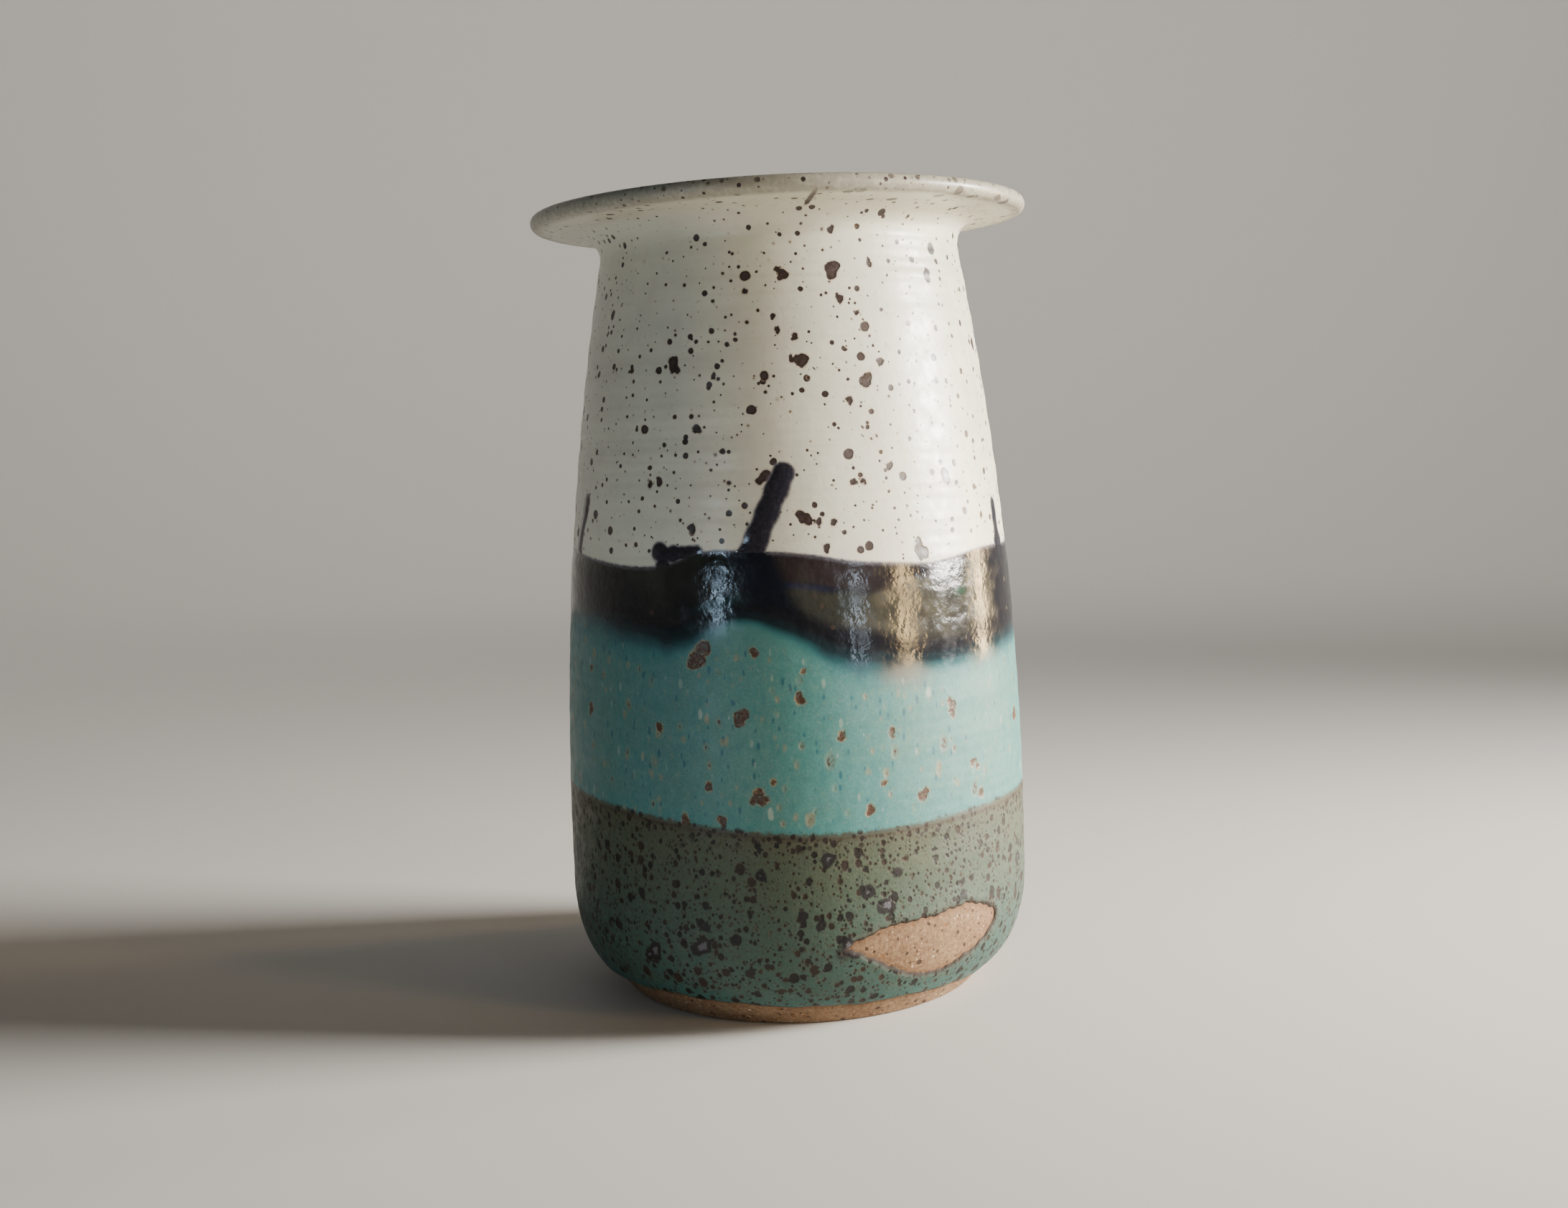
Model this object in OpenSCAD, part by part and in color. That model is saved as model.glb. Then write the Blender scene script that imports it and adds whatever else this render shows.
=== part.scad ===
// Stoneware pottery vase: one thrown clay body, its coats of glaze and the marks brushed on them.
// Millimetres, +Z up. The origin is the centre of the circle that the foot rests on.
// The front of the vase faces -Y. An angle around the vase is 0 at the front and grows to the right.

/* [Body] */
// Overall height, measured over the glaze
vase_height = 240; // [220:1:290]
// Widest outside diameter, measured over the glaze
belly_diameter = 144; // [130:1:176]
// Height at which the wall starts to draw in towards the neck
taper_start = 46; // [40:1:56]
// Thickness of the clay wall
wall = 4.2; // [3:0.1:6]
// Thickness of the clay floor
floor_thickness = 8; // [5:0.5:11]
// Radius of the corner between the inside wall and the floor
inner_corner = 22; // [14:1:28]

/* [Foot] */
// Diameter of the circle that the vase rests on
foot_diameter = 112; // [93:1:124]
// Height of the bare band above the resting face
foot_height = 7.5; // [5:0.5:9.5]
// How far the bare band widens from its bottom to its top
foot_flare = 6; // [3:0.5:7]
// Width of the ring that touches the table
foot_ring = 9; // [6:0.5:14]
// Depth of the recess inside the ring
foot_recess = 3; // [1.5:0.5:4]
// Height at which the rounded heel reaches the full width of the body
heel_height = 33; // [28:1:38]
// How far the heel has turned under when it meets the bare band, in degrees
heel_turn = 71; // [60:1:80]

/* [Neck and rim] */
// Narrowest outside diameter, just under the rim, over the glaze
neck_diameter = 110.6; // [92:0.2:124]
// Outside diameter of the rim, over the glaze
rim_diameter = 152; // [140:1:184]
// Radius of the hollow curve from the neck out to the rim, over the glaze
flare_radius = 8; // [6:0.5:9.5]
// Thickness of the rim and its rounded lip, glaze included
lip_thickness = 4.8; // [4:0.1:5.8]
// Upward slope of the rim towards its lip, in degrees
rim_slope = 3.5; // [1:0.5:6]

/* [Glaze coats] */
// Thickness of the white, turquoise, grey and liner coats
coat = 0.5; // [0.3:0.05:0.8]
// Thickness of the glassy dark band
band_coat = 0.7; // [0.4:0.05:1]
// Thickness of the brushed marks
brush_coat = 0.8; // [0.4:0.05:1]
// Width of the white glaze on top of the rim, from the edge in to the liner
rim_overlap = 9; // [6:0.5:10]
// Mean height of the top edge of the dark band
band_top = 136; // [128:1:142]
// Mean height of the bottom edge of the dark band
band_bottom = 115; // [108:1:120]
// Mean height of the border between the turquoise and the grey glaze
grey_top = 62; // [54:1:74]

/* [Leaf window] */
// Where the window's middle is around the vase, in degrees
leaf_angle = 32; // [0:1:360]
// Height of the window's tips
leaf_height = 26.5; // [25:0.5:34]
// Length of the window from tip to tip
leaf_length = 53; // [36:1:60]
// Greatest height of the window
leaf_width = 18.5; // [10:0.5:20]

/* [Hidden] */
BRUSH_STROKES = 6;

// Finish of round things and of the curves below
$fn = 96;
heel_steps = 12;
taper_steps = 18;
arc_steps = 10;
lip_steps = 16;
wave_step = 5;
leaf_steps = 5;

// Body, without its glaze
clay_belly_r = belly_diameter / 2 - coat;
band_r = foot_diameter / 2 + foot_flare;
foot_chamfer = 0.8;
recess_slope = 2;
floor_top = foot_recess + floor_thickness;
cavity_r = clay_belly_r - wall;

// Heel: an ellipse that ends level with the belly at the top and on the bare band at the bottom
heel_reach = (clay_belly_r - band_r) / (1 - cos(heel_turn));
heel_drop = (heel_height - foot_height) / sin(heel_turn);

// Rim: a lip of half a circle on each side of a plate of even thickness
lip_r = lip_thickness / 2 - coat;
lip_x = rim_diameter / 2 - lip_thickness / 2;
lip_z = vase_height - lip_thickness / 2;
plate = 2 * lip_r;

// Flare: the arc from the neck to the underside of the rim, about a centre outside the wall
flare_r = flare_radius + coat;
flare_x = neck_diameter / 2 + flare_radius;
underside_run = lip_x + lip_r * sin(rim_slope) - flare_x + flare_r * sin(rim_slope);
flare_z = lip_z - (lip_r + flare_r) * cos(rim_slope) - underside_run * tan(rim_slope);

// Taper: a parabola that leaves the belly upright and runs into the flare without a kink
taper_rise = flare_z - taper_start;
taper_draw = clay_belly_r - neck_diameter / 2 + coat;
lean_guess = atan(2 * taper_draw / taper_rise);
neck_lean = atan(2 * (taper_draw - flare_r * (1 - cos(lean_guess)))
    / (taper_rise - flare_r * sin(lean_guess)));
taper_end = flare_z - flare_r * sin(neck_lean);
taper_bend = tan(neck_lean) / (2 * (taper_end - taper_start));

// Everything that cuts a coat reaches past the rim and the belly
cut_r = max(rim_diameter, belly_diameter) / 2 + 10;
cut_top = vase_height + 10;

// Edges of the dark band and of the grey glaze: [angle, height above the mean]
band_top_wave = [
    [-180, 1], [-150, 2], [-120, 0], [-95, 2], [-75, 1.5], [-56, -0.5], [-40, -1.8], [-31, -1],
    [-21, 2.5], [-8, 2.5], [4, 1.2], [15, -1.2], [26, -2.4], [38, -3], [55, -0.5], [80, -0.5],
    [105, 1], [135, -2], [160, 0]
];
band_bottom_wave = [
    [-180, -1], [-155, 3], [-125, -3], [-98, -4], [-75, 8], [-50, 5], [-38, 2], [-28, 1],
    [-12, 6], [0, 2], [12, -5], [25, -8], [40, -8.5], [56, -7], [72, -5], [90, -2], [115, 2],
    [145, -4]
];
grey_top_wave = [
    [-180, 1], [-150, 3], [-115, 4], [-70, 3], [-44, 1.5], [-24, -0.5], [0, -3], [20, -3.3],
    [45, -2], [75, -1.5], [110, -1], [150, 0]
];

// Brush strokes: [angle of the rounded top, its height, lean in degrees, width]
strokes = [
    [-0.7, 159.8, -24, 6], [-64, 153, -24, 3.8], [67.5, 148, 5, 3.8], [84, 151, 6, 3.8],
    [148, 156, -20, 5], [-138, 152, 12, 5]
];

// Dab beside the front stroke: [angle, height, diameter] of each touch of the brush
dab_touches = [[-32.5, 139, 5.2], [-28.5, 138.4, 4.6], [-31.5, 135, 4.6]];

// Leaf outline, as shares of its length and width, with its left tip first
leaf_outline = [
    [-0.5, 0], [-0.3, 0.26], [0.02, 0.32], [0.22, 0.38], [0.4, 0.26], [0.5, 0.02],
    [0.42, -0.28], [0.2, -0.54], [0, -0.62], [-0.2, -0.46], [-0.38, -0.16]
];

// A station on the clay's surface is [radius, height, angle of the outward normal].
function moved(station, by) =
    [station[0] + by * cos(station[2]), station[1] + by * sin(station[2])];
function line_at(stations, by) = [for (s = stations) moved(s, by)];
function reversed(list) = [for (i = [len(list) - 1:-1:0]) list[i]];

function heel_stations() = [
    for (i = [0:heel_steps - 1])
        let (t = heel_turn * (1 - i / heel_steps))
        [
            clay_belly_r - heel_reach * (1 - cos(t)),
            heel_height - heel_drop * sin(t),
            -atan2(sin(t) / heel_drop, cos(t) / heel_reach)
        ]
];

function taper_station(z) =
    [clay_belly_r - taper_bend * pow(z - taper_start, 2), z,
        atan(2 * taper_bend * (z - taper_start))];
function taper_stations() = [
    for (i = [0:taper_steps]) taper_station(taper_start + (taper_end - taper_start) * i / taper_steps)
];

function belly_stations() = concat(heel_stations(), [[clay_belly_r, heel_height, 0]], taper_stations());

// The flare turns from the lean of the neck to the slope of the rim.
function flare_stations() = [
    for (i = [1:arc_steps])
        let (t = -neck_lean + (90 - rim_slope + neck_lean) * i / arc_steps)
        [flare_x - flare_r * cos(t), flare_z + flare_r * sin(t), -t]
];

function lip_stations() = [
    for (i = [0:lip_steps])
        let (t = -90 + rim_slope + 180 * i / lip_steps)
        [lip_x + lip_r * cos(t), lip_z + lip_r * sin(t), t]
];

// Where the white glaze ends and the liner starts, on the top of the rim
rim_joint = [
    rim_diameter / 2 - rim_overlap,
    lip_z + lip_r * cos(rim_slope)
        + (rim_diameter / 2 - rim_overlap - lip_x + lip_r * sin(rim_slope)) * tan(rim_slope),
    90 + rim_slope
];

// The throat follows the flare, and thickens from the rim's plate to the body's wall.
function throat_stations() = [
    for (i = [0:arc_steps])
        let (t = 90 - rim_slope - (90 - rim_slope + neck_lean) * i / arc_steps,
            reach = flare_r + plate + (wall - plate) * i / arc_steps)
        [flare_x - reach * cos(t), flare_z + reach * sin(t), 180 - t]
];

function cavity_wall_stations() = [
    for (i = [taper_steps - 1:-1:0])
        let (outside = taper_station(taper_start + (taper_end - taper_start) * i / taper_steps),
            inside = moved(outside, -wall))
        [inside[0], inside[1], 180 + outside[2]]
];

function corner_stations() = [
    for (i = [0:arc_steps])
        let (t = 90 * i / arc_steps)
        [
            cavity_r - inner_corner * (1 - cos(t)),
            floor_top + inner_corner * (1 - sin(t)),
            180 - t
        ]
];

outside_stations = concat(belly_stations(), flare_stations(), lip_stations(), [rim_joint]);
inside_stations = concat([rim_joint], throat_stations(), cavity_wall_stations(), corner_stations(),
    [[0, floor_top, 90]]);

// Smooth closed wave through [angle, height] knots, the first of them at -180 degrees
function knot(wave, i) =
    let (n = len(wave), turns = floor(i / n))
    wave[i - n * turns] + [360 * turns, 0];
function knot_slope(wave, i) =
    (knot(wave, i + 1)[1] - knot(wave, i - 1)[1]) / (knot(wave, i + 1)[0] - knot(wave, i - 1)[0]);
function between(t, from, to, slope_from, slope_to) =
    from * (1 + 2 * t) * pow(1 - t, 2) + to * t * t * (3 - 2 * t)
        + slope_from * t * pow(1 - t, 2) - slope_to * t * t * (1 - t);
function wave_height(wave, angle) =
    let (
        i = max([for (k = [0:len(wave) - 1]) if (wave[k][0] <= angle) k]),
        span = knot(wave, i + 1)[0] - knot(wave, i)[0]
    )
    between((angle - knot(wave, i)[0]) / span, knot(wave, i)[1], knot(wave, i + 1)[1],
        knot_slope(wave, i) * span, knot_slope(wave, i + 1) * span);

// Radius of the clay at a height on its tapering wall
function wall_r(z) = taper_station(z)[0];

// Everything above a wavy edge: a fan about the axis, with the edge's true height at the wall
module above(mean, wave) {
    rays = 360 / wave_step;
    spread = cut_r / wall_r(mean);
    around = [for (i = [0:rays - 1]) i * wave_step - 180];
    edge = [for (a = around) [cut_r * sin(a), -cut_r * cos(a), mean + spread * wave_height(wave, a)]];
    lid = [for (p = edge) [p[0], p[1], cut_top]];
    points = concat(edge, lid, [[0, 0, mean], [0, 0, cut_top]]);
    sides = [for (i = [0:rays - 1]) let (j = (i + 1) % rays) [i, i + rays, j + rays, j]];
    bottom = [for (i = [0:rays - 1]) [i, (i + 1) % rays, 2 * rays]];
    top = [for (i = [0:rays - 1]) [(i + 1) % rays + rays, i + rays, 2 * rays + 1]];
    polyhedron(points, concat(sides, bottom, top));
}

// A shape drawn flat, with x to the right and y up, cut through the wall at an angle
module through_wall(angle) {
    rotate([90, 0, angle]) linear_extrude(height = cut_r) children();
}

module turned(outline) {
    rotate_extrude() polygon(outline);
}

// A coat of glaze that lies on the clay from one station to the next
module glaze(stations, thickness) {
    turned(concat(line_at(stations, 0), reversed(line_at(stations, thickness))));
}

// Brush stroke: a round touch, drawn down past the top edge of the dark band
module stroke_shape(stroke) {
    half = stroke[3] / 2;
    drop = stroke[1] - band_top + 12;
    touch = [for (i = [0:arc_steps]) half * [cos(180 * i / arc_steps), sin(180 * i / arc_steps)]];
    translate([0, stroke[1]]) rotate(stroke[2]) polygon(concat(touch, [[-half, -drop], [half, -drop]]));
}

module all_strokes() {
    for (stroke = strokes) through_wall(stroke[0]) stroke_shape(stroke);
}

module dab_shape() {
    for (touch = dab_touches) through_wall(touch[0]) translate([0, touch[1]]) circle(d = touch[2]);
}

// Closed curve through the points of the leaf outline, with its left tip kept sharp
function leaf_point(i) =
    let (p = leaf_outline[i % len(leaf_outline)])
    [p[0] * leaf_length, leaf_height + p[1] * leaf_width];
function leaf_slope(i) =
    let (n = len(leaf_outline))
    i % n == 0 ? [0, 0] : (leaf_point(i + 1) - leaf_point(i - 1)) / 2;
function leaf_curve() = [
    for (i = [0:len(leaf_outline) - 1], k = [0:leaf_steps - 1])
        between(k / leaf_steps, leaf_point(i), leaf_point(i + 1), leaf_slope(i), leaf_slope(i + 1))
];

module clay_body() {
    base = [
        [0, foot_recess],
        [foot_diameter / 2 - foot_ring - recess_slope, foot_recess],
        [foot_diameter / 2 - foot_ring, 0],
        [foot_diameter / 2 - foot_chamfer, 0],
        [foot_diameter / 2, foot_chamfer]
    ];
    color("tan")
        turned(concat(base, line_at(outside_stations, 0), line_at(inside_stations, 0)));
}

module liner_glaze() {
    color("ivory") glaze(inside_stations, coat);
}

module white_glaze() {
    color("whitesmoke")
        difference() {
            intersection() {
                glaze(outside_stations, coat);
                above(band_top, band_top_wave);
            }
            all_strokes();
            dab_shape();
        }
}

module dark_band_glaze() {
    color("darkslategray")
        difference() {
            intersection() {
                glaze(belly_stations(), band_coat);
                above(band_bottom, band_bottom_wave);
            }
            above(band_top, band_top_wave);
        }
}

module turquoise_glaze() {
    color("cadetblue")
        difference() {
            intersection() {
                glaze(belly_stations(), coat);
                above(grey_top, grey_top_wave);
            }
            above(band_bottom, band_bottom_wave);
        }
}

module grey_glaze() {
    color("slategray")
        difference() {
            glaze(belly_stations(), coat);
            above(grey_top, grey_top_wave);
            through_wall(leaf_angle) polygon(leaf_curve());
        }
}

// One brush stroke, let into the white glaze and a little proud of it
module brush_stroke(stroke) {
    color("midnightblue")
        intersection() {
            glaze(belly_stations(), brush_coat);
            through_wall(stroke[0]) stroke_shape(stroke);
            above(band_top, band_top_wave);
        }
}

module brush_dab() {
    color("midnightblue")
        intersection() {
            glaze(belly_stations(), brush_coat);
            dab_shape();
            above(band_top, band_top_wave);
        }
}

clay_body();
liner_glaze();
white_glaze();
dark_band_glaze();
turquoise_glaze();
grey_glaze();
for (i = [1:BRUSH_STROKES])
    brush_stroke(strokes[i - 1]);
brush_dab();
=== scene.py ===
"""Looks of the stoneware vase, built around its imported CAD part.

Lengths are millimetres until a mesh is made, and angles around the vase are degrees:
0 at the front (-Y), growing to the right. "Path" is the outline that is turned about the axis,
and a point of a skin is named by its column around the vase and its length along the path.
"""
from math import atan, atan2, cos, pi, radians, sin, tan

import bpy
import numpy as np
from mathutils import Matrix, Vector


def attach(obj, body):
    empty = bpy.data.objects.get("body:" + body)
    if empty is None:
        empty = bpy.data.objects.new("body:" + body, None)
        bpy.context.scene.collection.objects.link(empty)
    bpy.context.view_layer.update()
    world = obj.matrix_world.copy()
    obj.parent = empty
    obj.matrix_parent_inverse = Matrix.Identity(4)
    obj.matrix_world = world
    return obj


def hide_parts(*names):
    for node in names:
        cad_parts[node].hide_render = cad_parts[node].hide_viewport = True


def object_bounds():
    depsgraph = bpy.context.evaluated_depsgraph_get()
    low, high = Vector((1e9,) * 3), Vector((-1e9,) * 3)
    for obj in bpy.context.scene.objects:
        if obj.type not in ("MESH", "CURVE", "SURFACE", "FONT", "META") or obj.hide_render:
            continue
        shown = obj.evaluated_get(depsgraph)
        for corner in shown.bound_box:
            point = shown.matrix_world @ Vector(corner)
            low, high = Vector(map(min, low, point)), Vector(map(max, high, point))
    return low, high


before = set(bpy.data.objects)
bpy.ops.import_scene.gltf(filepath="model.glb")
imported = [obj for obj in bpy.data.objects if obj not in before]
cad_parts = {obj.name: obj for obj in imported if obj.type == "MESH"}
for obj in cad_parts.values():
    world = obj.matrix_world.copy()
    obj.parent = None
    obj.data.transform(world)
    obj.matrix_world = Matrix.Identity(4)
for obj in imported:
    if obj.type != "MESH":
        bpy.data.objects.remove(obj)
cad_box = [list(corner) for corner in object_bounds()]
MM = 0.001

# ---- sizes, as in the CAD part
HEIGHT = cad_box[1][2] / MM
BELLY_R, TAPER_START, WALL, FLOOR, CORNER = 72.0, 46.0, 4.2, 8.0, 22.0
FOOT_R, FOOT_H, FOOT_FLARE, FOOT_RING, RECESS = 56.0, 7.5, 6.0, 9.0, 3.0
FOOT_START = .8       # height at which the foot's flare begins
HEEL_H, HEEL_TURN = 33.0, radians(71)
NECK_R, RIM_R, FLARE, LIP, SLOPE = 55.3, 76.0, 8.0, 4.8, radians(3.5)
COAT, RIM_OVERLAP = 0.5, 9.0
BAND_TOP, BAND_BOTTOM, GREY_TOP = 136.0, 115.0, 62.0
LEAF_ANGLE, LEAF_Z, LEAF_LONG, LEAF_HIGH = 32.0, 26.5, 53.0, 18.5

CLAY_R = BELLY_R - COAT
BAND_R = FOOT_R + FOOT_FLARE
HEEL_REACH = (CLAY_R - BAND_R) / (1 - cos(HEEL_TURN))
HEEL_DROP = (HEEL_H - FOOT_H) / sin(HEEL_TURN)
LIP_R = LIP / 2 - COAT
LIP_X = RIM_R - LIP / 2
LIP_Z = HEIGHT - LIP / 2
FLARE_R = FLARE + COAT
FLARE_X = NECK_R + FLARE
FLARE_Z = (LIP_Z - (LIP_R + FLARE_R) * cos(SLOPE)
           - (LIP_X + (LIP_R + FLARE_R) * sin(SLOPE) - FLARE_X) * tan(SLOPE))
DRAW = CLAY_R - NECK_R + COAT
LEAN = atan(2 * DRAW / (FLARE_Z - TAPER_START))
LEAN = atan(2 * (DRAW - FLARE_R * (1 - cos(LEAN)))
                 / (FLARE_Z - TAPER_START - FLARE_R * sin(LEAN)))
TAPER_END = FLARE_Z - FLARE_R * sin(LEAN)
BEND = tan(LEAN) / (2 * (TAPER_END - TAPER_START))
JOINT_R = RIM_R - RIM_OVERLAP
WALL_R = 68.0         # about the radius of the spots, to turn degrees into mm

# Edges of the glazes: angle, height above the mean
BAND_TOP_WAVE = [
    (-180, 1), (-150, 2), (-120, 0), (-95, 2), (-75, 1.5), (-56, -.5), (-40, -1.8), (-31, -1),
    (-21, 2.5), (-8, 2.5), (4, 1.2), (15, -1.2), (26, -2.4), (38, -3), (55, -.5), (80, -.5),
    (105, 1), (135, -2), (160, 0)]
BAND_BOTTOM_WAVE = [
    (-180, -1), (-155, 3), (-125, -3), (-98, -4), (-75, 8), (-50, 5), (-38, 2), (-28, 1),
    (-12, 6), (0, 2), (12, -5), (25, -8), (40, -8.5), (56, -7), (72, -5), (90, -2), (115, 2),
    (145, -4)]
GREY_TOP_WAVE = [
    (-180, 1), (-150, 3), (-115, 4), (-70, 3), (-44, 1.5), (-24, -.5), (0, -3), (20, -3.3),
    (45, -2), (75, -1.5), (110, -1), (150, 0)]
# The glaze ends a little above or below the top of the bare foot.
FOOT_LINE = [
    (-180, 7.6), (-140, 8.4), (-105, 7), (-78, 7.8), (-50, 8.8), (-33, 9.4), (-17, 8.6), (4, 7.3),
    (20, 7.1), (32, 7.2), (44, 6.4), (57, 5.7), (78, 6.6), (105, 8), (140, 6.8)]

# Brush strokes: angle of the rounded top, its height, lean in degrees, width
STROKES = [(-.7, 159.8, -24, 6), (-64, 153, -24, 3.8), (67.5, 148, 5, 3.8), (84, 151, 6, 3.8),
           (148, 156, -20, 5), (-138, 152, 12, 5)]
# The dab's touches, on the wall at DAB_R: angle, height, diameter
DAB_R = 67.6
DAB = [(-32.5, 139, 5.2), (-28.5, 138.4, 4.6), (-31.5, 135, 4.6)]
# The leaf window's outline, as shares of its length and its height
LEAF = [(-.5, 0), (-.3, .26), (.02, .32), (.22, .38), (.4, .26), (.5, .02),
        (.42, -.28), (.2, -.54), (0, -.62), (-.2, -.46), (-.38, -.16)]

# The largest iron spots: angle, height, radius
WHITE_SPOTS = [
    (15, 216, 2.5), (1, 215, 1.6), (-.5, 216.5, 1), (16.5, 208, 1.4), (26.5, 218, 1.2),
    (48, 215, 1.9), (-57, 207.5, 1.3), (3.5, 197.5, 1.1), (5, 191, 2), (2.5, 191.5, 1),
    (-1, 199.5, 1), (-30, 191.5, 2), (-28.5, 189.5, .9), (22, 185, 2), (26.5, 190, 1.3),
    (-22.5, 173, 1.4), (17, 179.5, 1.2), (44, 157.5, 1.9), (45, 155.5, 1), (26.5, 161, 1.2),
    (16.5, 157, 1), (19, 157, 1), (3.5, 148, 1.7), (5, 147, 1.3), (7.5, 146.5, 1), (11, 146, 1),
    (-5, 159.5, 1.7), (-6.5, 158, 1), (33.5, 136.5, 2.4), (33, 139.5, 1.2), (9, 139, 1.1),
    (8, 235, .9), (15.5, 227.5, 1.2), (21, 204, .9), (-9.5, 211, .9), (-23.5, 145.5, 1.3),
    (-36, 158, 1), (-18, 187.5, .9), (72, 196, 1.8), (95, 178, 2.1), (118, 205, 2.3),
    (131, 165, 1.5), (160, 190, 2.2), (176, 150, 1.6), (-160, 212, 1.8), (-150, 172, 2.1),
    (-121, 195, 1.6), (-104, 160, 2), (-88, 184, 1.5), (108, 148, 1.6)]
RUST_SPOTS = [
    (-12, 93, 2.1), (-22.5, 109, 2.4), (-20.5, 112.5, 1.9), (-8.5, 111, 1.2), (1.5, 98, 1.4),
    (-8.5, 71, 1.8), (-7, 70, 1.2), (-9.5, 69.5, 1), (-5, 75, .9), (39.5, 92.5, 1.5),
    (39.5, 90, 1.3), (22.5, 87, 1.3), (16.5, 65.5, 1.3), (30, 68, 1.7), (46, 74.5, 1.2),
    (47.5, 73, .9), (-32.5, 89.5, 1.2), (-58, 92, 1.4), (-20, 73.5, 1.2), (10.5, 87, 1.2),
    (20, 73, .9), (48.5, 65, 1.3), (-17, 64, 1.4), (-26, 63.5, 1.5), (2.5, 105.5, .8),
    (-58, 104, 1), (70, 84, 1.9), (92, 99, 1.6), (112, 77, 2.1), (139, 92, 1.7), (163, 104, 1.5),
    (-170, 80, 2), (-146, 97, 1.8), (-122, 86, 1.9), (-97, 96, 1.6), (-84, 74, 1.4)]
DARK_SPOTS = [
    (6.5, 52.5, 1.9), (15.5, 42.5, 1.7), (20, 38, 2.2), (18.5, 37, 1.3), (41, 36.5, 1.2),
    (-36.5, 24, 2.2), (-38.5, 22.5, 1.6), (-23, 27.5, 2.4), (-24.5, 26, 1.6), (-22.5, 33.5, 1.6),
    (-8.5, 48.5, 1.4), (.5, 36.5, 1.4), (4.5, 34, 1.4), (-15, 30, 1.3), (22.5, 47, 1.3),
    (-48.5, 29.5, 1.5), (-39.5, 40.5, 1.3), (10.5, 27.5, 2.1), (12, 25.5, 1.6), (-12, 20, 1.3),
    (68, 40, 2), (90, 28, 2.2), (117, 47, 1.8), (142, 24, 2.3), (170, 38, 2), (-165, 26, 2.2),
    (-140, 44, 1.9), (-112, 25, 2.4), (-85, 35, 1.9)]
# A small hole in the bare clay, drawn only as a dark spot of painted shade: angle, height, radius.
HOLES_IN_CLAY = [(40.5, 36.9, .5)]


# ---- numbers
def smooth(x, low, high):
    """0 below low, 1 above high, and a smooth rise between them."""
    t = np.clip((x - low) / (high - low), 0, 1)
    return t * t * (3 - 2 * t)


def hump(x, low, high, soft):
    """1 between low and high and 0 outside them, with soft sides."""
    return smooth(x, low - soft, low + soft) * (1 - smooth(x, high - soft, high + soft))


def between(t, a, b, slope_a, slope_b):
    """A cubic from a to b with a slope at each end."""
    return (a * (1 + 2 * t) * (1 - t) ** 2 + b * t * t * (3 - 2 * t)
            + slope_a * t * (1 - t) ** 2 - slope_b * t * t * (1 - t))


def wave(knots, angle):
    """A smooth closed wave through the knots, the first of them at -180 degrees."""
    at, up = np.array(knots, float).T
    at3 = np.concatenate([at - 360, at, at + 360])
    up3 = np.tile(up, 3)
    slope = (np.roll(up3, -1) - np.roll(up3, 1)) / (np.roll(at3, -1) - np.roll(at3, 1))
    i = np.searchsorted(at3, angle, side="right") - 1
    span = at3[i + 1] - at3[i]
    return between((angle - at3[i]) / span, up3[i], up3[i + 1], slope[i] * span, slope[i + 1] * span)


def turn(angle):
    """An angle brought to the half turn each side of 0."""
    return (angle + 180) % 360 - 180


def drift(points, size, seed):
    """Soft noise of about -1 to 1 through space, with features of that size."""
    rng = np.random.default_rng(seed)
    total = np.zeros(len(points))
    for _ in range(14):
        way = rng.normal(size=3)
        way *= 2 * pi / (size * rng.uniform(1.1, 2.6) * np.linalg.norm(way))
        total += np.sin(points @ way + rng.uniform(0, 2 * pi))
    return total / 3.6


# ---- paths
class Path:
    """An outline, as rows of radius, height and angle of the outward normal."""

    def __init__(self, *parts):
        rows = np.concatenate(parts)
        step = np.hypot(np.diff(rows[:, 0]), np.diff(rows[:, 1]))
        keep = np.concatenate([[True], step > 1e-4])
        rows = rows[keep]
        self.s = np.concatenate([[0], np.cumsum(np.hypot(np.diff(rows[:, 0]), np.diff(rows[:, 1])))])
        self.r, self.z, self.a = rows.T

    def at(self, s):
        return np.interp(s, self.s, self.r), np.interp(s, self.s, self.z), np.interp(s, self.s, self.a)

    def height_to_s(self, z):
        """Length along the path at a height, on the part that climbs steadily."""
        top = int(np.argmax(self.z >= FLARE_Z))
        return float(np.interp(z, self.z[:top], self.s[:top]))

    def rows(self, stops):
        """Row positions with a given step up to each stop: [(stop, step), ...]."""
        out, here = [0.0], 0.0
        for stop, step in stops:
            count = max(1, int(round((stop - here) / step)))
            out += list(here + (stop - here) * (np.arange(count) + 1) / count)
            here = stop
        return np.array(out)


def taper_rows(low, high, count, inset=0.0):
    z = np.linspace(low, high, count)
    a = np.arctan(2 * BEND * (z - TAPER_START))
    r = CLAY_R - BEND * (z - TAPER_START) ** 2
    return np.column_stack([r - inset * np.cos(a), z - inset * np.sin(a), a])


half_pi = pi / 2
band_high = FOOT_H - FOOT_START
foot_way = atan2(band_high, FOOT_FLARE)
foot_band = np.array([(FOOT_R + FOOT_FLARE * t, FOOT_START + band_high * t, foot_way - half_pi)
                      for t in np.linspace(0, 1, 60)])
turns = np.linspace(HEEL_TURN, 0, 120)
heel = np.column_stack([CLAY_R - HEEL_REACH * (1 - np.cos(turns)), HEEL_H - HEEL_DROP * np.sin(turns),
                        -np.arctan2(np.sin(turns) / HEEL_DROP, np.cos(turns) / HEEL_REACH)])
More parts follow.
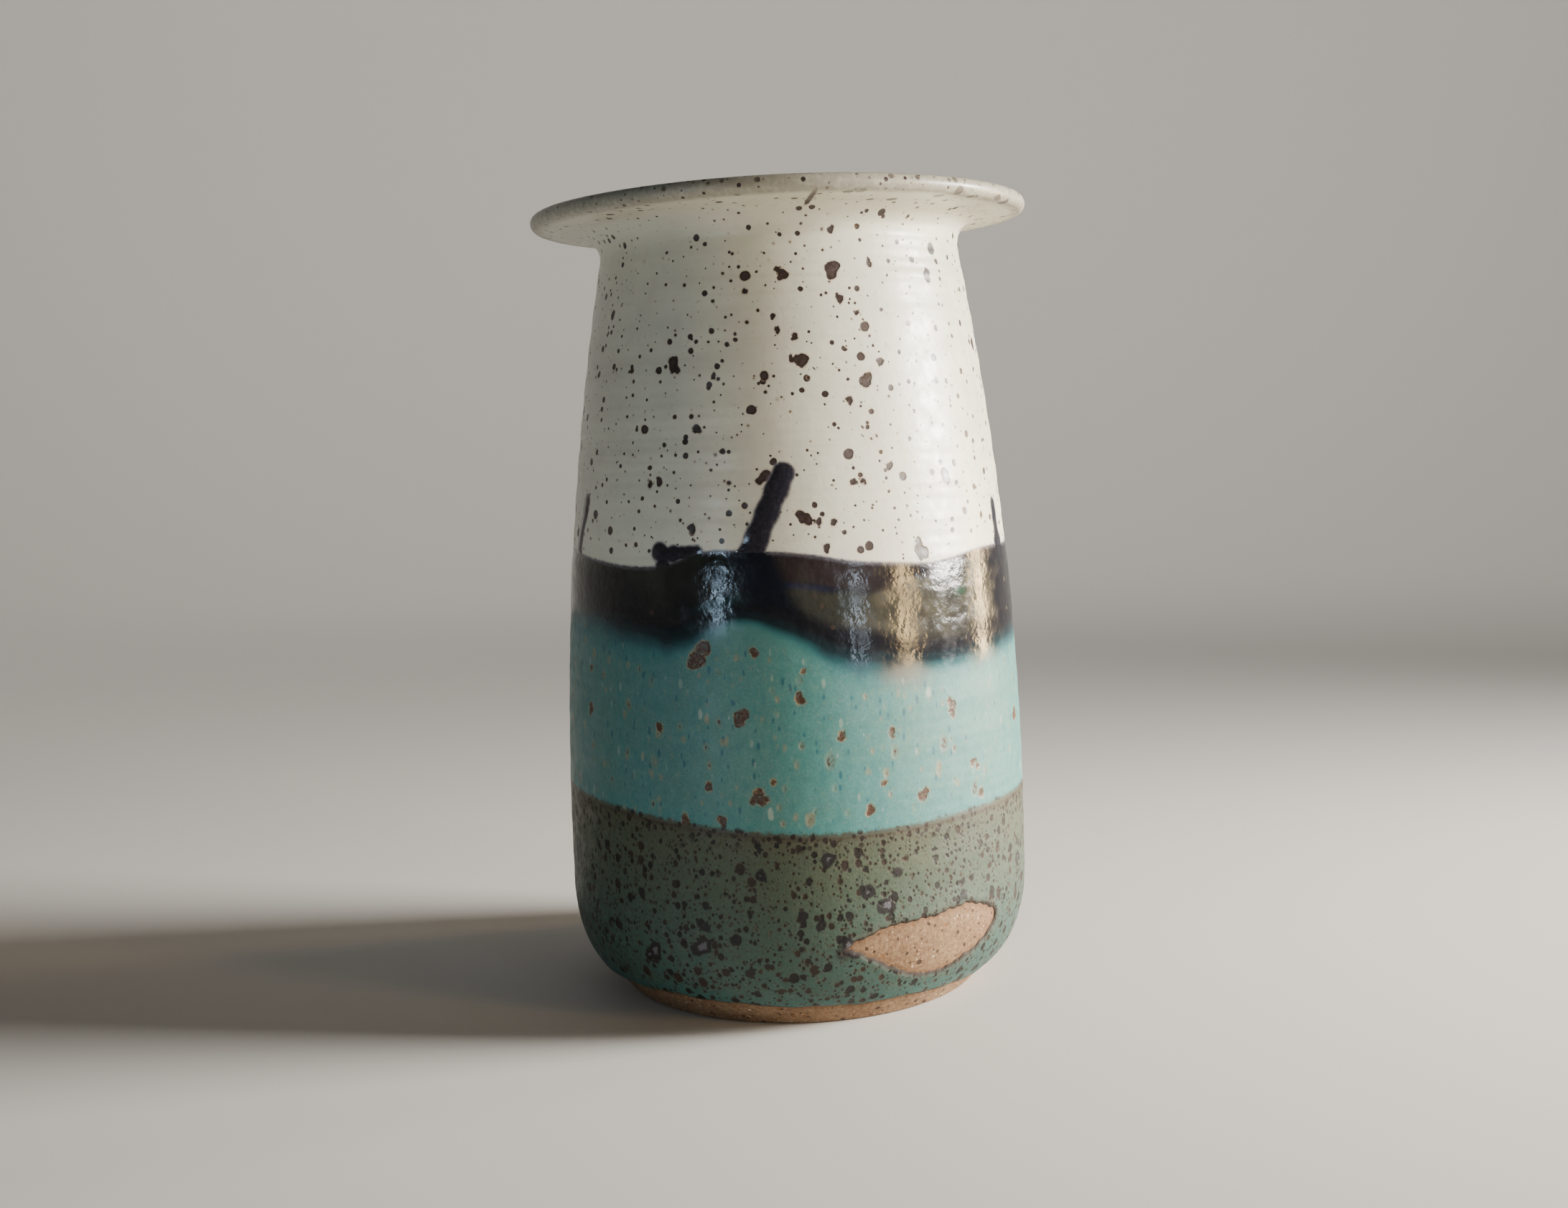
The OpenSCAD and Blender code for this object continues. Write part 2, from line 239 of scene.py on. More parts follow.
# The kink where the heel meets the band is eased, so that a coat can pass over it.
heel[:14, 2] = np.interp(np.arange(14), [0, 14], [foot_way - half_pi, heel[14, 2]])
belly = np.concatenate([heel, [(CLAY_R, TAPER_START, 0)], taper_rows(TAPER_START, TAPER_END, 240)])
flare_turn = np.linspace(-LEAN, half_pi - SLOPE, 90)
flare = np.column_stack([FLARE_X - FLARE_R * np.cos(flare_turn), FLARE_Z + FLARE_R * np.sin(flare_turn),
                         -flare_turn])
lip_turn = np.linspace(SLOPE - half_pi, SLOPE + half_pi, 90)
lip = np.column_stack([LIP_X + LIP_R * np.cos(lip_turn), LIP_Z + LIP_R * np.sin(lip_turn), lip_turn])
joint_z = (LIP_Z + LIP_R * cos(SLOPE)
           + (JOINT_R - LIP_X + LIP_R * sin(SLOPE)) * tan(SLOPE))
joint = np.array([(JOINT_R, joint_z, half_pi + SLOPE)])
throat_turn = np.linspace(half_pi - SLOPE, -LEAN, 90)
reach = FLARE_R + 2 * LIP_R + (WALL - 2 * LIP_R) * np.linspace(0, 1, 90)
throat = np.column_stack([FLARE_X - reach * np.cos(throat_turn), FLARE_Z + reach * np.sin(throat_turn),
                          pi - throat_turn])
cavity = taper_rows(TAPER_END, TAPER_START, 240, WALL)
cavity[:, 2] += pi
corner_turn = np.linspace(0, half_pi, 60)
FLOOR_TOP = RECESS + FLOOR
corner = np.column_stack([CLAY_R - WALL - CORNER * (1 - np.cos(corner_turn)),
                          FLOOR_TOP + CORNER * (1 - np.sin(corner_turn)), pi - corner_turn])
floor_centre = np.array([(0, FLOOR_TOP, half_pi)])
RING_R = FOOT_R - FOOT_RING
# From the axis over the recess, round the foot ring's inner edge and out to its outer edge
base = np.array([
    (0, RECESS, -half_pi), (RING_R - 3.2, RECESS, -half_pi), (RING_R - 1.9, RECESS - .35, -2.0),
    (RING_R - .4, .5, -2.1), (RING_R + .5, .06, -1.75), (RING_R + 1.5, 0, -half_pi),
    (FOOT_R - 2, 0, -half_pi), (FOOT_R - 1, .12, -1.3), (FOOT_R - .3, .5, -1.0)])

outside = Path(foot_band[18:], belly, flare, lip, joint)
inside = Path(joint, throat, cavity, corner, floor_centre)
body = Path(base, foot_band, belly, flare, lip, joint, throat, cavity, corner, floor_centre)


# ---- decoration, as distances in mm
def stroke_gap(stroke, angle, z):
    """Distance outside a brush stroke, measured on a flat against the wall."""
    top, high, lean, width = stroke
    off = np.radians(turn(angle - top))
    x = np.sin(off) * np.interp(z, [TAPER_START, 160], [CLAY_R, 65.3])
    y = z - high
    c, s = cos(radians(lean)), sin(radians(lean))
    u, v = x * c + y * s, -x * s + y * c
    # The edges waver a little, and the stroke widens where it runs into the band.
    half = (width / 2 * (1 + .07 * np.sin(v * .9 + top))
            + 1.5 * np.exp(-np.clip(z - BAND_TOP - 1.5, 0, 50) / 1.6))
    gap = np.hypot(u, np.maximum(v, 0)) - half
    return np.where(np.cos(off) > .2, gap, 50.0)


def dab_gap(angle, z):
    gaps = [np.hypot(np.radians(turn(angle - a)) * DAB_R, z - h) - d / 2 for a, h, d in DAB]
    # The last touch is drawn out to the right, into the band.
    x = np.radians(turn(angle + 27)) * DAB_R
    gaps.append(np.hypot(np.maximum(np.abs(x) - 5.5, 0), z - 138.6 - .05 * x) - 1.7)
    return np.minimum.reduce(gaps)


def leaf_curve():
    points = np.array([(x * LEAF_LONG, LEAF_Z + y * LEAF_HIGH) for x, y in LEAF])
    slopes = (np.roll(points, -1, 0) - np.roll(points, 1, 0)) / 2
    slopes[0] = 0
    out = []
    for i in range(len(points)):
        j = (i + 1) % len(points)
        for t in np.linspace(0, 1, 9)[:-1]:
            out.append(between(t, points[i], points[j], slopes[i], slopes[j]))
    return np.array(out)


def leaf_gap(angle, z):
    """Distance outside the leaf window, with its edge a little uneven."""
    off = np.radians(turn(angle - LEAF_ANGLE))
    x, r = np.sin(off) * CLAY_R, np.cos(off)
    out = np.full(len(x), 60.0)
    near = np.flatnonzero((r > .3) & (np.abs(x) < 44) & (np.abs(z - LEAF_Z) < 26))
    p = np.column_stack([x[near], z[near]])
    curve = leaf_curve()
    nxt = np.roll(curve, -1, 0)
    best = np.full(len(p), 1e9)
    inside_of = np.zeros(len(p), bool)
    for a, b in zip(curve, nxt):
        d = b - a
        t = np.clip(((p - a) @ d) / (d @ d), 0, 1)
        best = np.minimum(best, np.hypot(*(p - a - t[:, None] * d).T))
        crosses = (a[1] > p[:, 1]) != (b[1] > p[:, 1])
        with np.errstate(divide="ignore", invalid="ignore"):
            inside_of ^= crosses & (p[:, 0] < (b[0] - a[0]) * (p[:, 1] - a[1]) / (b[1] - a[1]) + a[0])
    gap = np.where(inside_of, -best, best)
    out[near] = gap + .35 * np.sin(p[:, 0] * .75 + 1) * np.sin(p[:, 1] * .6) + .2 * np.sin(p[:, 0] * 1.9)
    return out


def spot_gap(spots, angle, z, tall=1.0):
    """Distance outside the nearest of the large spots, each with its own lumpy outline."""
    out = np.full(len(angle), 30.0)
    for k, (a, h, r) in enumerate(spots):
        x = np.radians(turn(angle - a)) * WALL_R
        y = (z - h) / tall
        near = (np.abs(x) < 14) & (np.abs(y) < 14)
        way = np.arctan2(y[near], x[near])
        lumps = (1 + .16 * np.sin(2 * way + k) + .12 * np.sin(3 * way + 2.3 * k)
                 + .06 * np.sin(5 * way + k * k))
        out[near] = np.minimum(out[near], np.hypot(x[near], y[near]) - r * lumps)
    return out


# ---- skins
COLUMNS = 480


class Sheet:
    """Points of a skin by column and path length; column COLUMNS lies on column 0."""

    def __init__(self, path, rows):
        n = COLUMNS + 1
        self.path = path
        self.c = np.tile(np.arange(n, dtype=float), len(rows))
        self.s = np.repeat(rows, n)
        first = (np.arange(len(rows) - 1)[:, None] * n + np.arange(COLUMNS)).ravel()
        self.quads = np.column_stack([first, first + 1, first + n + 1, first + n])

    def split(self, faces, field, snap=.05):
        """Cuts faces along field = 0, and gives those on its positive and on its negative side."""
        quads, loose = faces
        z = self.path.at(self.s)[1]
        f = field(turn(self.c * 360 / COLUMNS - 180), z)
        f[np.abs(f) < snap] = 0
        low, high = f[quads].min(1), f[quads].max(1)
        above, below = (low >= 0) & (high > 0), high <= 0
        plus, minus, made, new = [], [], {}, []

        def cross(i, j):
            key = (min(i, j), max(i, j))
            if key not in made:
                made[key] = len(f) + len(new)
                t = f[key[0]] / (f[key[0]] - f[key[1]])
                new.append([v[key[0]] + t * (v[key[1]] - v[key[0]]) for v in (self.c, self.s)])
            return made[key]

        work = [list(q) for q in quads[~above & ~below]] + [list(p) for p in loose]
        while work:
            poly = work.pop()
            ring = list(zip(poly, poly[1:] + poly[:1]))
            if sum(f[i] * f[j] < 0 for i, j in ring) > 2:
                work += [[poly[0], poly[k], poly[k + 1]] for k in range(1, len(poly) - 1)]
                continue
            over, under = [], []
            for i, j in ring:
                if f[i] >= 0:
                    over.append(i)
                if f[i] <= 0:
                    under.append(i)
                if f[i] * f[j] < 0:
                    over.append(cross(i, j))
                    under.append(over[-1])
            values = [f[i] for i in poly]
            if max(values) > 0 and len(over) > 2:
                plus.append(over)
            if (min(values) < 0 or max(values) <= 0) and len(under) > 2:
                minus.append(under)
        new_c, new_s = np.array(new).reshape(-1, 2).T
        self.c, self.s = np.append(self.c, new_c), np.append(self.s, new_s)
        return (quads[above], plus), (quads[below], minus)


# How far apart the throwing rings are: fine and wide outside, on the inner wall, on the floor
FINE_RING, WIDE_RING, INNER_RING, FLOOR_RING = 3.3, 11, 6.5, 7


def warp(points, inner):
    """The small unevenness of a thrown pot, the same for every skin that passes through a point."""
    x, y, z = points.T
    r = np.hypot(x, y)
    angle = np.arctan2(x, -y)
    edge = smooth(z, 232, 240) * smooth(r, 60, 66)
    rise = smooth(z, 4, 30)
    out = rise * (.22 * np.sin(2 * angle + .7) + .12 * np.sin(3 * angle + 2.1 + z * .01))
    rings = (np.sin(z * 2 * pi / FINE_RING + angle + .9 * np.sin(z * .11))
             * (.5 + .5 * np.sin(z * .083 + angle + 1)))
    wide = np.sin(z * 2 * pi / WIDE_RING - angle + .6 * np.sin(z * .05))
    outer = rise * (1 - edge) * (smooth(z, 140, 152) * (.02 * rings + .05 * wide)
                                 + .025 * rings + .04 * wide)
    spiral = np.sin(z * 2 * pi / INNER_RING + angle + .8 * np.sin(z * .07))
    deep = (1 - edge) * smooth(z, 16, 34) * (1 - smooth(z, 218, 232)) * .32 * spiral
    out = out + np.where(inner, deep, outer)
    floor_rings = np.where(inner, .3 * np.sin(r * 2 * pi / FLOOR_RING + angle)
                           * smooth(r, 4, 12) * (1 - smooth(z, 12, 20)), 0)
    scale = (r + out * smooth(r, 0, 20)) / np.maximum(r, 1e-6)
    tilt = smooth(z, 190, 232) * (tan(radians(.52)) * x + tan(radians(.35)) * y
                                  + .25 * np.sin(3 * angle + 1) * smooth(r, 58, 76))
    return np.column_stack([x * scale, y * scale, z + tilt + floor_rings])


def place(path, c, s, off, inner):
    """Points of a skin, moved out along the normal by off."""
    r, z, a = path.at(s)
    r, z = np.maximum(r + off * np.cos(a), 0), z + off * np.sin(a)
    angle = np.radians(c * 360 / COLUMNS - 180)
    return warp(np.column_stack([r * np.sin(angle), -r * np.cos(angle), z]), inner)


def add_object(name, data):
    obj = bpy.data.objects.new(name, data)
    bpy.context.scene.collection.objects.link(obj)
    return obj


def fill_mesh(name, points, corners, counts, uvs, attributes):
    mesh = bpy.data.meshes.new(name)
    mesh.vertices.add(len(points))
    mesh.vertices.foreach_set("co", (points * MM).astype(np.float32).ravel())
    mesh.loops.add(len(corners))
    mesh.loops.foreach_set("vertex_index", corners.astype(np.int32))
    mesh.polygons.add(len(counts))
    mesh.polygons.foreach_set("loop_start", starts_of(counts).astype(np.int32))
    mesh.polygons.foreach_set("use_smooth", np.ones(len(counts), bool))
    mesh.uv_layers.new(name="OFBake").data.foreach_set("uv", uvs.astype(np.float32).ravel())
    for key, values in attributes.items():
        wide = values.ndim == 2
        made = mesh.attributes.new(key, "FLOAT_VECTOR" if wide else "FLOAT", "POINT")
        made.data.foreach_set("vector" if wide else "value", values.astype(np.float32).ravel())
    mesh.update(calc_edges=True)
    if mesh.validate(verbose=True):
        print("mended mesh of", name)
    mesh.set_sharp_from_angle(angle=SHARP)
    return add_object(name, mesh)


def corner_lists(faces):
    quads, loose = faces
    corners = np.append(quads.ravel(), np.array([i for p in loose for i in p], int))
    counts = np.append(np.full(len(quads), 4), np.array([len(p) for p in loose], int))
    return corners, counts


def starts_of(counts):
    return np.append(0, np.cumsum(counts)[:-1])


SHARP = radians(38)
PX = 1 / 1024         # a pixel of the UV square
OUTER_FROM = .12      # share of the UV square below the outer side, kept for the side that nobody sees


def uv_of(c, s, strip, strips, low, high, stretch):
    """Strips of columns stacked above each other; low and high are the square's rows that they fill."""
    wide = COLUMNS / strips
    local = (c - strip * wide) / wide
    tall = (high - low) / strips
    edge = 5 * PX
    return np.column_stack([edge + local * (1 - 2 * edge),
                            low + strip * tall + edge + stretch(s) * (tall - 2 * edge)])


def skin(name, sheet, faces, thick, paint, strips=2, inner=False, weight=None, closed=False):
    """A closed piece: the faces as its outer side, their copy on the clay, and walls at each edge.

    A closed sheet, from the axis to the axis, is a piece by itself.
    """
    path = sheet.path
    corners, counts = corner_lists(faces)
    # The last column lies on the first, and each end of a path on the axis is one point.
    home = {round(s, 6): i for i, s in zip(np.flatnonzero(sheet.c == 0), sheet.s[sheet.c == 0])}
    weld = np.arange(len(sheet.c))
    for i in np.flatnonzero(sheet.c == COLUMNS):
        weld[i] = home[round(sheet.s[i], 6)]
    on_axis = path.at(sheet.s)[0] < 1e-6
    for end in (path.s[0], path.s[-1]):
        here = np.flatnonzero(on_axis & (np.abs(sheet.s - end) < 1e-6))
        if len(here):
            weld[here] = here[0]
    used, small = np.unique(weld[corners], return_inverse=True)
    c, s = sheet.c[used], sheet.s[used]
    angle, z = turn(c * 360 / COLUMNS - 180), path.at(s)[1]
    side = inner(s) if callable(inner) else np.full(len(s), inner)
    outer = place(path, c, s, thick(angle, z, s), side)

    starts = starts_of(counts)
    face_of = np.repeat(np.arange(len(counts)), counts)
    after = np.arange(len(corners)) + 1
    after[starts + counts - 1] = starts
    middle = np.add.reduceat(sheet.c[corners], starts) / counts
    strip = np.minimum((middle * strips // COLUMNS).astype(int), strips - 1)[face_of]
    steps = np.linspace(s.min(), s.max(), 600)
    share = np.concatenate([[0], np.cumsum(weight(steps[1:]) if weight else np.ones(599))])

    def stretch(v):
        return np.interp(v, steps, share / share[-1])

    corner_c, corner_s = sheet.c[corners], sheet.s[corners]
    bottom = 0 if closed else OUTER_FROM
    uv_out = uv_of(corner_c, corner_s, strip, strips, bottom, 1, stretch)
    uv_in = uv_of(corner_c, corner_s, strip, strips, 0, OUTER_FROM - 4 * PX, stretch)

    # A quad with two corners on the axis loses one of them.
    tip = on_axis[corners]
    doubled = np.flatnonzero(tip & tip[after])
    for uv in (uv_out, uv_in):
        uv[after[doubled], 0] = (uv[doubled, 0] + uv[after[doubled], 0]) / 2
    keep = np.ones(len(corners), bool)
    keep[doubled] = False
    kept_counts = np.add.reduceat(keep.astype(int), starts)
    attributes = paint(angle, z, outer)
    if closed:
        return fill_mesh(name, outer, small[keep], kept_counts, uv_out[keep], attributes)

    n = len(used)
    rim = np.flatnonzero(~np.isin(small * n + small[after], small[after] * n + small)
                         & (small != small[after]))
    # Walls take the colour of their edge: they lie just outside it on the UV square.
    along = uv_out[after[rim]] - uv_out[rim]
    away = np.column_stack([along[:, 1], -along[:, 0]])
    away /= np.maximum(np.linalg.norm(away, axis=1), 1e-9)[:, None]
    push = {}
    for way, e in zip(away, rim):
        for k in (e, after[e]):
            push[corners[k], strip[e]] = push.get((corners[k], strip[e]), 0) + way

    def pushed(k, e):
        way = push[corners[k], strip[e]]
        return uv_out[k] + 2.5 * PX * way / max(np.linalg.norm(way), .5)

    first, last = small[rim], small[after[rim]]
    wall_corners = np.column_stack([last, first, first + n, last + n])
    wall_uv = np.array([[uv_out[after[e]], uv_out[e], pushed(e, e), pushed(after[e], e)] for e in rim])
    # The copy on the clay is turned over: each face has its corners in reverse.
    flip = np.repeat(2 * starts + counts - 1, counts) - np.arange(len(corners))
    flip = flip[keep[flip]]
    back = place(path, c, s, np.full(n, -.02), side)
    return fill_mesh(
        name, np.concatenate([outer, back]),
        np.concatenate([small[keep], small[flip] + n, wall_corners.ravel()]),
        np.concatenate([kept_counts, kept_counts, np.full(len(rim), 4)]),
        np.concatenate([uv_out[keep], uv_in[flip], wall_uv.reshape(-1, 2)]),
        {key: np.concatenate([v, v]) for key, v in attributes.items()})


# ---- edges, coats and low colour
def top_edge(angle, z):
    return z - BAND_TOP - wave(BAND_TOP_WAVE, angle)


def bottom_edge(angle, z):
    return z - BAND_BOTTOM - wave(BAND_BOTTOM_WAVE, angle)


def grey_edge(angle, z):
    return z - GREY_TOP - wave(GREY_TOP_WAVE, angle)


def foot_edge(angle, z):
    a = np.radians(angle)
    return z - wave(FOOT_LINE, angle) - .25 * np.sin(a * 17) - .15 * np.sin(a * 41)


def brush_gap(angle, z):
    return np.minimum.reduce([stroke_gap(k, angle, z) for k in STROKES] + [dab_gap(angle, z)])


def plain_coat(angle, z, s):
    return np.full(len(z), COAT)


def brush_coat(angle, z, s):
    return COAT + .22 * smooth(-np.maximum(brush_gap(angle, z), -top_edge(angle, z) - .4), 0, 1.6)


def band_coat(angle, z, s):
    over, under = -top_edge(angle, z), bottom_edge(angle, z)
    return COAT + .20 * smooth(np.minimum(over, under * .7), 0, 5)


def grey_coat(angle, z, s):
    gap = np.minimum(foot_edge(angle, z), leaf_gap(angle, z))
    roll = np.sqrt(1 - (1 - np.clip(gap / 1.0, 0, 1)) ** 2)
    return .03 + (COAT - .03) * roll + .16 * hump(gap, .7, 2.6, .7)


def layered(colour, count, *coats):
    """A colour for each point, with further ones laid over it: (colour, share of each point)."""
    out = np.tile(np.array(colour, float), (count, 1))
    for over, share in coats:
        out = out + (np.asarray(over, float) - out) * np.asarray(share)[:, None]
    return out


TURQUOISE = (.064, .188, .173)
BLACK = (.010, .010, .013)
BLUE_BLACK = (.011, .020, .025)


def middle_paint(angle, z, points):
    over, under = -top_edge(angle, z), bottom_edge(angle, z)
    n1, n2, n3 = (drift(points, size, seed) for size, seed in ((9, 1), (22, 2), (5, 3)))
    flow = drift(points * (1, 1, .3), 4, 4)
    streak = drift(points * (1, 1, .25), 5, 9)
    # The band: glassy black with olive pools on the right, brown and green haze on the left. The pools,
    # the brown patch at the front and the thin blue line are partly glaze colour and partly painted
    # reflection.
    bent = angle + 3 * n2 + .3 * (z - 125)
    right = (hump(bent, -3, 61, 5) + hump(bent, 98, 136, 8) + hump(angle, 163, 180, 5)
             + hump(bent, -180, -150, 6))
    shoulder = smooth(angle, 16, 30)
    pool_and_reflection = right * smooth(over, 7.5 - 5.5 * shoulder + n1, 11 - 6 * shoulder + n1)
    pool_and_reflection *= smooth(under, 4.5 + n2, 9 + n2)
    # A green spot in the pools: a painted reflection of garden greenery.
    green_reflection = smooth(2.6 - np.hypot(turn(angle - 45) * .55, z - 124.5), 0, 3)
    # A brown patch near the top at the front: partly glaze colour, partly painted reflection.
    brown = hump(angle, -5, 30, 4) * hump(over, .4, 7.6, .8) * (1 - .7 * smooth(angle, 14, 28))
    left = hump(angle, -82, -17, 6) + hump(angle, -135, -100, 8)
    band = layered(
        BLACK, len(z),
        ((.040, .038, .029), pool_and_reflection * (.85 + .15 * n2)),
        ((.068, .061, .041), pool_and_reflection * smooth(streak + .6 * n3, .2, 1.6) * .6),
        ((.022, .026, .025), pool_and_reflection * smooth(-n1, .1, 1.2) * .6),
        ((.023, .0175, .018), brown),
        # A thin blue line near the front: partly glaze colour, partly painted reflection.
        ((.014, .019, .062), hump(angle, -4, 9, 4) * hump(over, 7.9, 9.1, .9) * .6),
        ((.009, .045, .030), pool_and_reflection * green_reflection * .9),
        ((.026, .036, .024), left * hump(over, -1, 3.2, 1.6) * (.7 + .3 * n1)),
        ((.023, .023, .021), left * smooth(n2 + n1, -.8, 1.0) * .8),
        ((.018, .062, .064), hump(angle, -24, -11, 4) * hump(under, 2.5, 5.5, 1.5) * .85),
        ((.006, .008, .0145), hump(angle + (z - 136) * .36, -13.5, -3.2, 2.2)),
        (BLACK, 1 - smooth(under + .4 * streak, 1.5, 9 + 1.2 * n2)),
        (BLUE_BLACK, 1 - smooth(under + .4 * streak, 0, 2.6)))
    # Below it the black runs out through deep blue-green into turquoise.
    wide = 7.2 + 1.5 * n2 - 2.4 * hump(angle, -16, 4, 6) + 2.6 * hump(angle, -80, -35, 8)
    fade = -under / wide + .06 * flow * smooth(-under, 0, 2)
    turquoise = layered(
        TURQUOISE, len(z),
        ((.078, .200, .184), smooth(n2, -.5, 1) * .7),
        ((.054, .192, .186), smooth(-n1, .2, 1) * .5),
        ((.085, .168, .155), hump(angle, -75, -15, 14) * .35),
        ((.048, .178, .174), 1 - smooth(grey_edge(angle, z), 0, 9)))
    below = layered(
        BLUE_BLACK, len(z),
        ((.015, .040, .048), smooth(fade, 0, .3)),
        ((.025, .086, .097), smooth(fade, .1, .55)),
        ((.044, .150, .154), smooth(fade, .42, .82)),
        (turquoise, smooth(fade, .7, 1.3)),
        # A pale warm patch under the band at 27 degrees: partly thin glaze, partly a painted reflection
        # of warm light.
        ((.20, .16, .13), smooth(6.5 - np.hypot(turn(angle - 27) * .62, -under - 5), 0, 6) * .55))
    return np.where((under < 0)[:, None], below, band)


def upper_marks(angle, z, points):
    return {"top_edge": top_edge(angle, z), "brush": brush_gap(angle, z),
            "spot": spot_gap(WHITE_SPOTS, angle, z, 1.08),
            "lip": smooth(np.hypot(points[:, 0], points[:, 1]), 70.2, 74.6)}


def middle_marks(angle, z, points):
    return {"top_edge": top_edge(angle, z), "brush": brush_gap(angle, z),
            "bottom_edge": bottom_edge(angle, z), "grey_edge": grey_edge(angle, z),
            "spot": spot_gap(RUST_SPOTS, angle, z, 1.25), "paint": middle_paint(angle, z, points)}


def lower_marks(angle, z, points):
    return {"grey_edge": grey_edge(angle, z), "leaf": leaf_gap(angle, z), "foot": foot_edge(angle, z),
            "spot": spot_gap(DARK_SPOTS, angle, z, 1.1),
            "tip": np.hypot(np.radians(turn(angle - 9.5)) * 71, z - 25.5)}


def clay_marks(angle, z, points):
    return {"leaf": leaf_gap(angle, z), "foot": foot_edge(angle, z),
            "hole": spot_gap(HOLES_IN_CLAY, angle, z)}


def liner_marks(angle, z, points):
    far = np.full(len(z), 60.0)
    return {"top_edge": far, "brush": far, "spot": far, "lip": far * 0}


# ---- materials
class Tree:
    """Short names for building a material's nodes. A value is a number, a colour or a socket."""

    def __init__(self, name, colour=None):
        self.colour, self.height = colour, None
        self.material = bpy.data.materials.new(name)
        self.material.use_nodes = True
        self.nodes, self.links = self.material.node_tree.nodes, self.material.node_tree.links
        self.nodes.clear()
        self.shader = self.new("BsdfPrincipled")
        self.links.new(self.shader.outputs[0], self.new("OutputMaterial").inputs[0])
        place_of = self.new("TexCoord").outputs["Object"]
        self.mm = self.vector("MULTIPLY", place_of, (1 / MM, 1 / MM, 1 / MM))

    def put(self, socket, value):
        if isinstance(value, bpy.types.NodeSocket):
            self.links.new(value, socket)
        elif isinstance(value, tuple) and len(value) == 3 and socket.type == "RGBA":
            socket.default_value = (*value, 1)
        else:
            socket.default_value = value

    def new(self, kind):
        return self.nodes.new("ShaderNode" + kind)

    def node(self, kind, values, out=0, **settings):
        made = self.new(kind)
        for key, value in settings.items():
            setattr(made, key, value)
        for key, value in values.items():
            self.put(made.inputs[key], value)
        return made.outputs[out]

    def math(self, operation, *values):
        return self.node("Math", dict(enumerate(values)), operation=operation)

    def add(self, a, b):
        return self.math("ADD", a, b)

    def sub(self, a, b):
        return self.math("SUBTRACT", a, b)

    def mul(self, a, b):
        return self.math("MULTIPLY", a, b)

    def vector(self, operation, a, b):
        return self.node("VectorMath", {0: a, 1: b}, operation=operation)

    def mark(self, name, out="Fac"):
        return self.node("Attribute", {}, out=out, attribute_name=name)

    def step(self, x, low, high, to_low=0.0, to_high=1.0):
        return self.node("MapRange", {"Value": x, "From Min": low, "From Max": high,
                                                "To Min": to_low, "To Max": to_high},
                         interpolation_type="SMOOTHSTEP")

    def fall(self, x, low, high):
        return self.step(x, low, high, 1.0, 0.0)

    def mix(self, share, a, b):
        made = self.new("Mix")
        made.data_type = "RGBA"
        self.put(made.inputs["Factor"], share)
        self.put(made.inputs[6], a)
        self.put(made.inputs[7], b)
        return made.outputs[2]

    def tint(self, share, colour):
        self.colour = self.mix(share, self.colour, colour)

    def lift(self, height):
        self.height = self.add(self.height, height)

    def dent(self, depth):
        self.height = self.sub(self.height, depth)

    def noise(self, size, shift, detail=2.0, rough=.5, stretch=(1, 1, 1), out="Fac"):
        """Noise with features of that size in mm; shift gives each use its own."""
        p = self.vector("MULTIPLY", self.mm, tuple(k / size for k in stretch))
        p = self.vector("ADD", p, (shift, shift * .7, shift * 1.3))
        values = {"Vector": p, "Scale": 1.0, "Detail": detail, "Roughness": rough}
        return self.node("TexNoise", values, out=out)

    def jitter(self, size, amount, shift, detail=3.0, rough=.6):
        """Noise about zero."""
        return self.mul(self.sub(self.noise(size, shift, detail, rough), .5), amount)

    def wobble(self, size, amount, shift):
        """Coordinates in mm, pushed about by noise."""
        p = self.vector("SUBTRACT", self.noise(size, shift, 1.0, out="Color"), (.5, .5, .5))
        return self.vector("ADD", self.mm, self.vector("MULTIPLY", p, (amount, amount, amount)))

    def spots(self, cell, small, large, soft, shift, stretch=(1, 1, 1), ragged=.8):
        """Spots, one to a cell of space: (depth inside it in mm, random number, share covered)."""
        p = self.wobble(cell * .35, ragged * cell * .12, shift)
        p = self.vector("ADD", self.vector("MULTIPLY", p, tuple(k / cell for k in stretch)),
                        (shift, shift * 1.7, shift * .6))
        made = self.new("TexVoronoi")
        self.put(made.inputs["Vector"], p)
        made.inputs["Scale"].default_value = 1.0
        channels = self.new("SeparateColor")
        self.links.new(made.outputs["Color"], channels.inputs[0])
        away = self.mul(made.outputs["Distance"], cell)
        size = self.math("POWER", channels.outputs[1], 2.0)
        radius = self.add(self.mul(size, large - small), small)
        depth = self.sub(radius, away)
        return depth, channels.outputs[2], self.step(depth, -soft, soft)

    def finish(self, rough, **fixed):
        self.put(self.shader.inputs["Base Color"], self.colour)
        self.put(self.shader.inputs["Roughness"], rough)
        for key, value in fixed.items():
            self.shader.inputs[key.replace("_", " ")].default_value = value
        if self.height is not None:
            # The height is in mm.
            values = {"Strength": 1.0, "Distance": MM, "Height": self.height}
            self.put(self.shader.inputs["Normal"], self.node("Bump", values, out="Normal"))
        return self.material


WHITE = (.640, .632, .520)
BRUSH_DARK = (.016, .016, .024)


